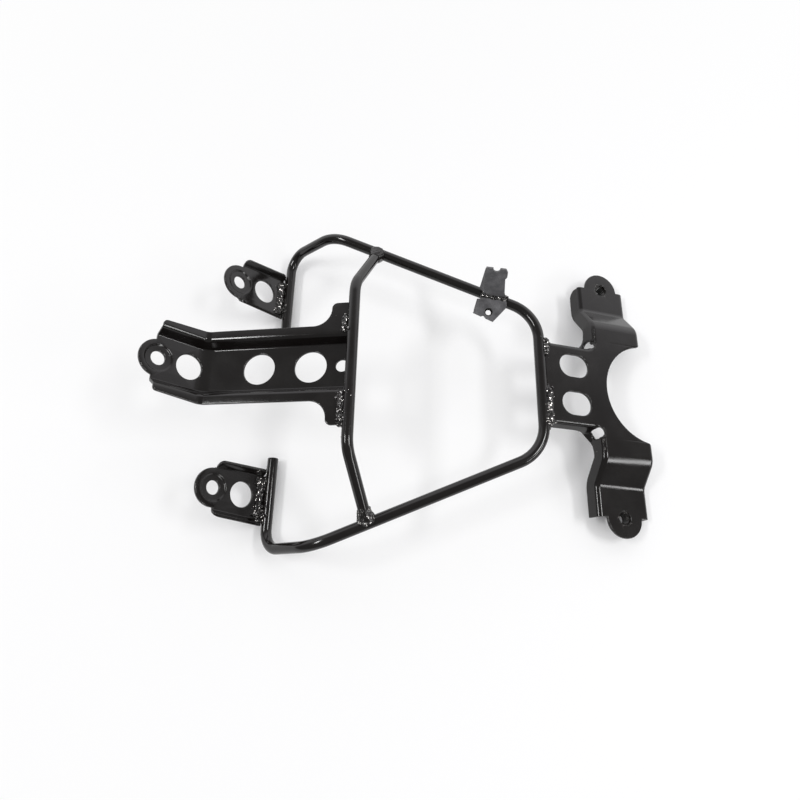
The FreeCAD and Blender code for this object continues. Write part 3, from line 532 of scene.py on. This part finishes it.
def strike_flange(piece):
    """Set the inner flange straight and steep, along the body, round the corners and down the arms."""
    shell = bmesh.new()
    shell.from_mesh(piece.data)
    slice_corners(shell)
    corners = []
    local = []
    for vert in shell.verts:
        reach = vert.co - PLATE_ORIGIN
        down = reach.dot(PLATE_DOWN_SLOPE)
        if abs(vert.co.y - PLATE_ORIGIN.y) > STAIR_START and FLANGE_FROM < down < FLANGE_START:
            corners.append(vert)
            local.append((down, vert.co.y - PLATE_ORIGIN.y, reach.dot(PLATE_UP)))
    local = np.array(local)
    plan = np.stack((local[:, 0], np.abs(local[:, 1])), axis=1)
    past, outward, far = past_fold(plan)

    stair = bent_line((STAIR_START, 0.0), 0.0, STAIR_RUNS)
    rolled = bent_line((FLANGE_START, 0.0), math.pi, FLANGE_ROLLED)
    struck = bent_line((FLANGE_START, 0.0), math.pi, FLANGE_STRUCK)
    on_stair, along, height = beside_line(np.stack((plan[:, 1], local[:, 2]), axis=1), stair)
    on_roll, ahead, aside = beside_line(np.stack((ARM_FOLD - past, height), axis=1), rolled)
    section = from_line(on_roll, ahead, aside, struck)
    side_view = from_line(on_stair, along, section[:, 1], stair)
    shift = outward * (ARM_FOLD - section[:, 0] - past)[:, None]
    new_down = plan[:, 0] + shift[:, 0]
    new_left = np.sign(local[:, 1]) * (side_view[:, 0] + shift[:, 1])
    new_up = side_view[:, 1]
    for vert, down, left, up in zip(corners, new_down, new_left, new_up):
        vert.co = PLATE_ORIGIN + PLATE_DOWN_SLOPE * down + Vector((0, left, 0)) + PLATE_UP * up

    crease = [v for v, gap, up in zip(corners, far, new_up) if gap < CREASE_REACH and up < CREASE_BELOW]
    for _ in range(CREASE_ROUNDS):
        bmesh.ops.smooth_vert(shell, verts=crease, factor=0.5,
                              use_axis_x=True, use_axis_y=True, use_axis_z=True)
    for face in shell.faces:
        face.smooth = True
    shell.to_mesh(piece.data)
    shell.free()
    return piece


plate_paint = gloss_black_paint("plate_gloss_black", gloss=(0.12, 0.20), peel=0.08, chip_at=0.57,
                                scuffs=tuple(PLATE_NUT_SEATS.values()))
plate_piece = strike_flange(edge_rounded("end_plate", SHEET_EDGE_ROUND))
fit(plate_piece, "end_plate", plate_paint)

# Plate welds: a short run at the plate's left corner and a long rough one at its right corner.
# Both are laid over the hoop's nose and the plate's edge.
bead = lumpy_bead("left_plate_weld", ("end_plate", "hoop_rod"), lump=0.8 * MM, ripple=0.16 * MM,
                  clots=14, spread=0.8 * MM, spatters=24, seed=7)
fit(bead, "left_plate_weld", weld_paint)
bead = lumpy_bead("right_plate_weld", ("end_plate", "hoop_rod"), lump=1.2 * MM, ripple=0.18 * MM,
                  clots=80, spread=1.7 * MM, spatters=50, seed=8)
fit(bead, "right_plate_weld", weld_paint)

# Weld nuts: six-sided steel nuts with a round pilot in the plate's hole, welded below the feet.
# They are bought with their thread cut, and the paint is scraped off its crests by the bolts.
NUT_COLUMNS = 96
NUT_SOFT = 0.15 * MM
NUT_TIGHT = 0.002 * MM
NUT_BEVEL = math.radians(60)
NUT_SHARP = math.radians(32)
THREAD_STEPS = 10
THREAD_FLAT = 1.35
THREAD_STEEP = 3.2
PLATE_NUT = {"across": 14.0 * MM, "height": 6.5 * MM, "pilot": 5.0 * MM, "rise": 1.1 * MM,
             "bore": 3.325 * MM, "root": 3.95 * MM, "pitch": 1.25 * MM, "chamfer": 0.8 * MM}


def threaded_nut(node_name, nut, seat, sideways, up):
    """Six-sided weld nut with its thread cut as a real spiral groove."""
    hex_corner = math.pi / 6

    def hex_radius(angle):
        turn = (angle % (math.pi / 3)) - hex_corner
        return nut["across"] / 2 / math.cos(turn)

    def thread_radius(angle, level):
        phase = (level / nut["pitch"] - angle / (2 * math.pi)) % 1.0
        groove = max(0.0, min(1.0, THREAD_FLAT - abs(phase - 0.5) * THREAD_STEEP))
        cut = nut["bore"] + (nut["root"] - nut["bore"]) * groove
        from_end = min(nut["rise"] - level, level + nut["height"])
        mouth = nut["bore"] + nut["chamfer"] - from_end
        return max(cut, mouth)

    def bevel_rise(angle):
        proud = hex_radius(angle) - nut["across"] / 2
        return max(NUT_SOFT, proud / math.tan(NUT_BEVEL))

    angles = [2 * math.pi * k / NUT_COLUMNS for k in range(NUT_COLUMNS)]
    rings = [[(nut["pilot"] - NUT_SOFT, nut["rise"]) for a in angles],
             [(nut["pilot"], nut["rise"] - NUT_SOFT) for a in angles],
             [(nut["pilot"], 0.0) for a in angles],
             [(hex_radius(a) - NUT_SOFT, 0.0) for a in angles],
             [(hex_radius(a), -NUT_SOFT) for a in angles],
             [(hex_radius(a), -nut["height"] + bevel_rise(a)) for a in angles],
             [(nut["across"] / 2 - NUT_SOFT, -nut["height"]) for a in angles]]
    levels = np.arange(-nut["height"], nut["rise"] + 1e-9, nut["pitch"] / THREAD_STEPS)
    for level in list(levels) + [nut["rise"]]:
        rings.append([(thread_radius(a, level), level) for a in angles])
    to_place = Matrix((sideways, up.cross(sideways), up)).transposed()
    points = []
    for ring in rings:
        for angle, (radius, level) in zip(angles, ring):
            corner = Vector((radius * math.cos(angle), radius * math.sin(angle), level))
            points.append(seat + to_place @ corner)
    faces = []
    count = len(rings)
    for r in range(count):
        below = r * NUT_COLUMNS
        above = ((r + 1) % count) * NUT_COLUMNS
        for k in range(NUT_COLUMNS):
            after = (k + 1) % NUT_COLUMNS
            faces.append((below + k, above + k, above + after, below + after))
    mesh = bpy.data.meshes.new(node_name + "_thread")
    mesh.from_pydata([p[:] for p in points], [], faces)
    shell = bmesh.new()
    shell.from_mesh(mesh)
    bmesh.ops.remove_doubles(shell, verts=shell.verts, dist=NUT_TIGHT)
    bmesh.ops.recalc_face_normals(shell, faces=shell.faces)
    for face in shell.faces:
        face.smooth = True
    shell.to_mesh(mesh)
    shell.free()
    mesh.set_sharp_from_angle(angle=NUT_SHARP)
    piece = bpy.data.objects.new(node_name + "_threaded", mesh)
    bpy.context.scene.collection.objects.link(piece)
    return piece


nut_paint = gloss_black_paint("nut_gloss_black", gloss=(0.12, 0.22), peel=0.12, chip_at=0.56)
for node_name, seat in PLATE_NUT_SEATS.items():
    nut_piece = threaded_nut(node_name, PLATE_NUT, seat, PLATE_DOWN_SLOPE, PLATE_UP)
    fit(nut_piece, node_name, nut_paint)

# Clip bracket: a small leaf of thinner sheet folded over the hoop's left run to hold a cable.
# It is blanked roughly, and its satin coat is greyer and duller than the carrier's.
CLIP_GREY = (0.055, 0.054, 0.058, 1)
CLIP_DUST = (0.170, 0.168, 0.176, 1)
CLIP_CLOUDS = 150
CLIP_GRAIN = 1400
CLIP_GRAIN_DEPTH = 0.08 * MM
CLIP_WEAR = 0.6 * MM
CLIP_EDGE_ROUND = 0.25 * MM


def dull_grey_paint(name):
    """Thin satin coat with dry dust in it and rubbed edges."""
    paint = bpy.data.materials.new(name)
    paint.use_nodes = True
    nodes = paint.node_tree.nodes
    links = paint.node_tree.links
    shader = nodes["Principled BSDF"]
    place = nodes.new("ShaderNodeTexCoord").outputs["Object"]
    cloud = cloudy(nodes, links, place, CLIP_CLOUDS, 5, 0.65)
    grain = cloudy(nodes, links, place, CLIP_GRAIN, 3, 0.6)
    dust = joined(nodes, links, "MULTIPLY", ranged(nodes, links, cloud, 0.35, 0.7, 0.1, 1),
                  ranged(nodes, links, grain, 0.3, 0.7, 0.3, 1))
    coat = coloured(nodes, links, dust, CLIP_GREY, CLIP_DUST)
    rubbed = joined(nodes, links, "MULTIPLY", edge_mask(nodes, links, CLIP_WEAR),
                    ranged(nodes, links, grain, 0.45, 0.6, 0, 1))
    links.new(coloured(nodes, links, rubbed, coat, PAINT_CHIP), shader.inputs["Base Color"])
    links.new(ranged(nodes, links, cloud, 0.3, 0.7, 0.38, 0.58), shader.inputs["Roughness"])
    links.new(bumped(nodes, links, grain, 0.35, CLIP_GRAIN_DEPTH), shader.inputs["Normal"])
    return paint


clip_paint = dull_grey_paint("clip_dull_grey")
fit(edge_rounded("clip_bracket", CLIP_EDGE_ROUND), "clip_bracket", clip_paint)

# Clip nut: a small weld nut under the clip's lower leaf that takes the cable guide's screw.
# It is the same kind of nut as the plate's, only smaller, and is coated with the clip.
CLIP_NUT = {"across": 8.0 * MM, "height": 4.0 * MM, "pilot": 3.0 * MM, "rise": 0.8 * MM,
            "bore": 2.1 * MM, "root": 2.46 * MM, "pitch": 0.8 * MM, "chamfer": 0.5 * MM}
CLIP_NUT_SEAT = Vector((0.060182, 0.053321, 0.044395))
CLIP_NUT_ALONG = Vector((0.98731, -0.15859, 0)).normalized()
CLIP_NUT_UP = Vector((-0.05424, -0.33768, 0.93963)).normalized()
nut_piece = threaded_nut("clip_weld_nut", CLIP_NUT, CLIP_NUT_SEAT, CLIP_NUT_ALONG, CLIP_NUT_UP)
fit(nut_piece, "clip_weld_nut", nut_paint)

# Clip weld: one thin tack that runs along the fold where the clip crosses the bar.
# It was laid after the clip's blank was folded, and is sprayed with the carrier.
bead = lumpy_bead("clip_weld", ("clip_bracket", "hoop_rod"), lump=0.6 * MM, ripple=0.10 * MM,
                  clots=16, spread=0.7 * MM, spatters=20, seed=9)
fit(bead, "clip_weld", weld_paint)

# Clip's second run: weld wire drawn along the outside of the fold, from one bar side to the other.
# It covers the fold, and is as black and glittering as the carrier's other welds.
CLIP_FOLD = Vector((0.063426, 0.063433, 0.050344))
CLIP_RUN = (-8.6 * MM, 8.8 * MM)
CLIP_RUN_STEP = 0.75 * MM
CLIP_RUN_THICK = 1.35 * MM
CLIP_RUN_FACING = Vector((0, -0.6, 0.8))
CLIP_RUN_SEED = 21
dice = random.Random(CLIP_RUN_SEED)
run_shell = bmesh.new()
reach = CLIP_RUN[0]
while reach < CLIP_RUN[1]:
    spot = CLIP_FOLD + CLIP_NUT_ALONG * reach - Vector((0, dice.uniform(0.2, 1.0) * MM, 0))
    drop(run_shell, spot, CLIP_RUN_FACING, CLIP_RUN_THICK * dice.uniform(0.75, 1.2), dice)
    reach += CLIP_RUN_STEP
for face in run_shell.faces:
    face.smooth = True
run_mesh = bpy.data.meshes.new("clip_fold_run")
run_shell.to_mesh(run_mesh)
run_shell.free()
run_mesh.materials.append(weld_paint)
clip_fold_run = bpy.data.objects.new("clip_fold_run", run_mesh)
bpy.context.scene.collection.objects.link(clip_fold_run)
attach(clip_fold_run, "root")

# Floor: a sheet of matt white paper that goes on past the picture on every side.
# Close to the carrier it takes the shadows, and the plain white it shows to the camera is dimmed by
# ambient occlusion, a painted shade in the nooks under and beside the parts; far off it fades into plain
# white.
FLOOR_HALF = 6.0
PAPER_WHITE = (0.93, 0.93, 0.935, 1)
PAPER_CREAM = (0.905, 0.905, 0.915, 1)
PAPER_ROUGH = 0.85
PAPER_FIBRE = 3.0
PAPER_GLOW_NEAR = 0.60
PAPER_FADE = (0.25, 0.80)
PAINTED_SHADE_REACH = 0.05
floor_mesh = bpy.data.meshes.new("floor_paper")
floor_mesh.from_pydata([(-FLOOR_HALF, -FLOOR_HALF, 0), (FLOOR_HALF, -FLOOR_HALF, 0),
                        (FLOOR_HALF, FLOOR_HALF, 0), (-FLOOR_HALF, FLOOR_HALF, 0)], [], [(0, 1, 2, 3)])
floor = bpy.data.objects.new("floor_paper", floor_mesh)
bpy.context.scene.collection.objects.link(floor)
paper = bpy.data.materials.new("floor_white_paper")
paper.use_nodes = True
paper_nodes = paper.node_tree.nodes
paper_links = paper.node_tree.links
paper_shader = paper_nodes["Principled BSDF"]
paper_shader.inputs["Roughness"].default_value = PAPER_ROUGH
paper_shader.inputs["Specular IOR Level"].default_value = 0.0
paper_place = paper_nodes.new("ShaderNodeTexCoord").outputs["Object"]
fibre = cloudy(paper_nodes, paper_links, paper_place, PAPER_FIBRE, 3)
paper_links.new(coloured(paper_nodes, paper_links, fibre, PAPER_CREAM, PAPER_WHITE),
                paper_shader.inputs["Base Color"])
distance = paper_nodes.new("ShaderNodeVectorMath")
distance.operation = "LENGTH"
paper_links.new(paper_place, distance.inputs[0])
glow = ranged(paper_nodes, paper_links, distance.outputs["Value"], PAPER_FADE[0], PAPER_FADE[1],
              PAPER_GLOW_NEAR, 1)
# Painted shade: ambient occlusion darkens the floor's plain white where it lies near or under the parts.
painted_nook_shade = paper_nodes.new("ShaderNodeAmbientOcclusion")
painted_nook_shade.samples = 8
painted_nook_shade.inputs["Distance"].default_value = PAINTED_SHADE_REACH
ray = paper_nodes.new("ShaderNodeLightPath")
seen = ray.outputs["Is Camera Ray"]
for _ in range(2):
    seen = joined(paper_nodes, paper_links, "MULTIPLY", seen, painted_nook_shade.outputs["AO"])
seen = joined(paper_nodes, paper_links, "MAXIMUM", seen, ray.outputs["Is Glossy Ray"])
seen = joined(paper_nodes, paper_links, "MAXIMUM", seen, ray.outputs["Is Transmission Ray"])
plain_white = paper_nodes.new("ShaderNodeEmission")
plain_white.inputs["Strength"].default_value = 1.0
fade = paper_nodes.new("ShaderNodeMixShader")
paper_links.new(joined(paper_nodes, paper_links, "MULTIPLY", glow, seen), fade.inputs["Fac"])
paper_links.new(paper_shader.outputs["BSDF"], fade.inputs[1])
paper_links.new(plain_white.outputs["Emission"], fade.inputs[2])
paper_links.new(fade.outputs["Shader"], paper_nodes["Material Output"].inputs["Surface"])
floor_mesh.materials.append(paper)

# Light: a white paper sweep behind the carrier, the dim side of the room in front of it,
# a strip lamp on each side at about fifty degrees, whose pale shadows fall left and right,
# and a weaker strip low on the near right, that shines along the plate's folds.
LAMP_WIDE = 0.20
SIDE_LONG = 0.55
SIDE_WATTS = 8.2
LOW_LONG = 0.95
LOW_WATTS = 6.5
LAMP_AIM = Vector((0, 0, 0.03))
LAMPS = (("lamp_left", (-0.98, 0.0, 1.26), SIDE_LONG, SIDE_WATTS),
         ("lamp_right", (0.98, 0.0, 1.26), SIDE_LONG, SIDE_WATTS),
         ("lamp_low_right", (1.42, -0.62, 0.81), LOW_LONG, LOW_WATTS))
for name, place, long, watts in LAMPS:
    lamp = bpy.data.lights.new(name, "AREA")
    lamp.shape = "RECTANGLE"
    lamp.size = long
    lamp.size_y = LAMP_WIDE
    lamp.energy = watts
    stand = bpy.data.objects.new(name, lamp)
    stand.location = place
    stand.rotation_euler = (LAMP_AIM - stand.location).to_track_quat("-Z", "Y").to_euler()
    bpy.context.scene.collection.objects.link(stand)
SWEEP_TOP = 0.55
SWEEP_SPAN = (-0.6, 0.4)
ROOM_STOPS = ((0.0, (0.28, 0.28, 0.28, 1)),
              (0.25, (0.26, 0.26, 0.26, 1)),
              (0.58, (0.36, 0.36, 0.36, 1)),
              (0.70, (0.64, 0.635, 0.65, 1)),
              (0.80, (1.12, 1.11, 1.14, 1)),
              (1.0, (1.3, 1.29, 1.32, 1)))
room = bpy.data.worlds.new("paper_sweep_room")
bpy.context.scene.world = room
room.use_nodes = True
room_nodes = room.node_tree.nodes
room_links = room.node_tree.links
way = room_nodes.new("ShaderNodeTexCoord").outputs["Generated"]
behind = room_nodes.new("ShaderNodeVectorMath")
behind.operation = "DOT_PRODUCT"
behind.inputs[1].default_value = (0, 1, -SWEEP_TOP)
room_links.new(way, behind.inputs[0])
sweep = room_nodes.new("ShaderNodeValToRGB")
while len(sweep.color_ramp.elements) < len(ROOM_STOPS):
    sweep.color_ramp.elements.new(0.5)
for stop, (position, colour) in zip(sweep.color_ramp.elements, ROOM_STOPS):
    stop.position = position
    stop.color = colour
height_on_sweep = ranged(room_nodes, room_links, behind.outputs["Value"],
                         SWEEP_SPAN[0], SWEEP_SPAN[1], 0, 1)
room_links.new(height_on_sweep, sweep.inputs["Fac"])
room_links.new(sweep.outputs["Color"], room_nodes["Background"].inputs["Color"])
room_nodes["Background"].inputs["Strength"].default_value = 1.0

# Camera: held above the near side at about seventy degrees, as the photograph was taken,
# with a fairly wide lens, so that the higher pieces look a little larger.
CAMERA_AT = (-0.00132341, -0.15629668, 0.43251315)
CAMERA_RIGHT = (0.9997546, 0.0219323, -0.0031181)
CAMERA_DOWN = (0.0196327, -0.9424032, -0.3339025)
CAMERA_AHEAD = (-0.0102618, 0.3337593, -0.9426025)
SENSOR_WIDE = 36.0
LENS_LONG = 25.70707
NEAREST_SEEN = 0.01
eye = bpy.data.cameras.new("camera")
eye.sensor_width = SENSOR_WIDE
eye.lens = LENS_LONG
eye.clip_start = NEAREST_SEEN
camera = bpy.data.objects.new("camera", eye)
bpy.context.scene.collection.objects.link(camera)
camera.matrix_world = Matrix.Translation(CAMERA_AT) @ Matrix((
    CAMERA_RIGHT, [-v for v in CAMERA_DOWN], [-v for v in CAMERA_AHEAD])).transposed().to_4x4()
bpy.context.scene.camera = camera
bpy.context.scene.view_settings.view_transform = "Standard"
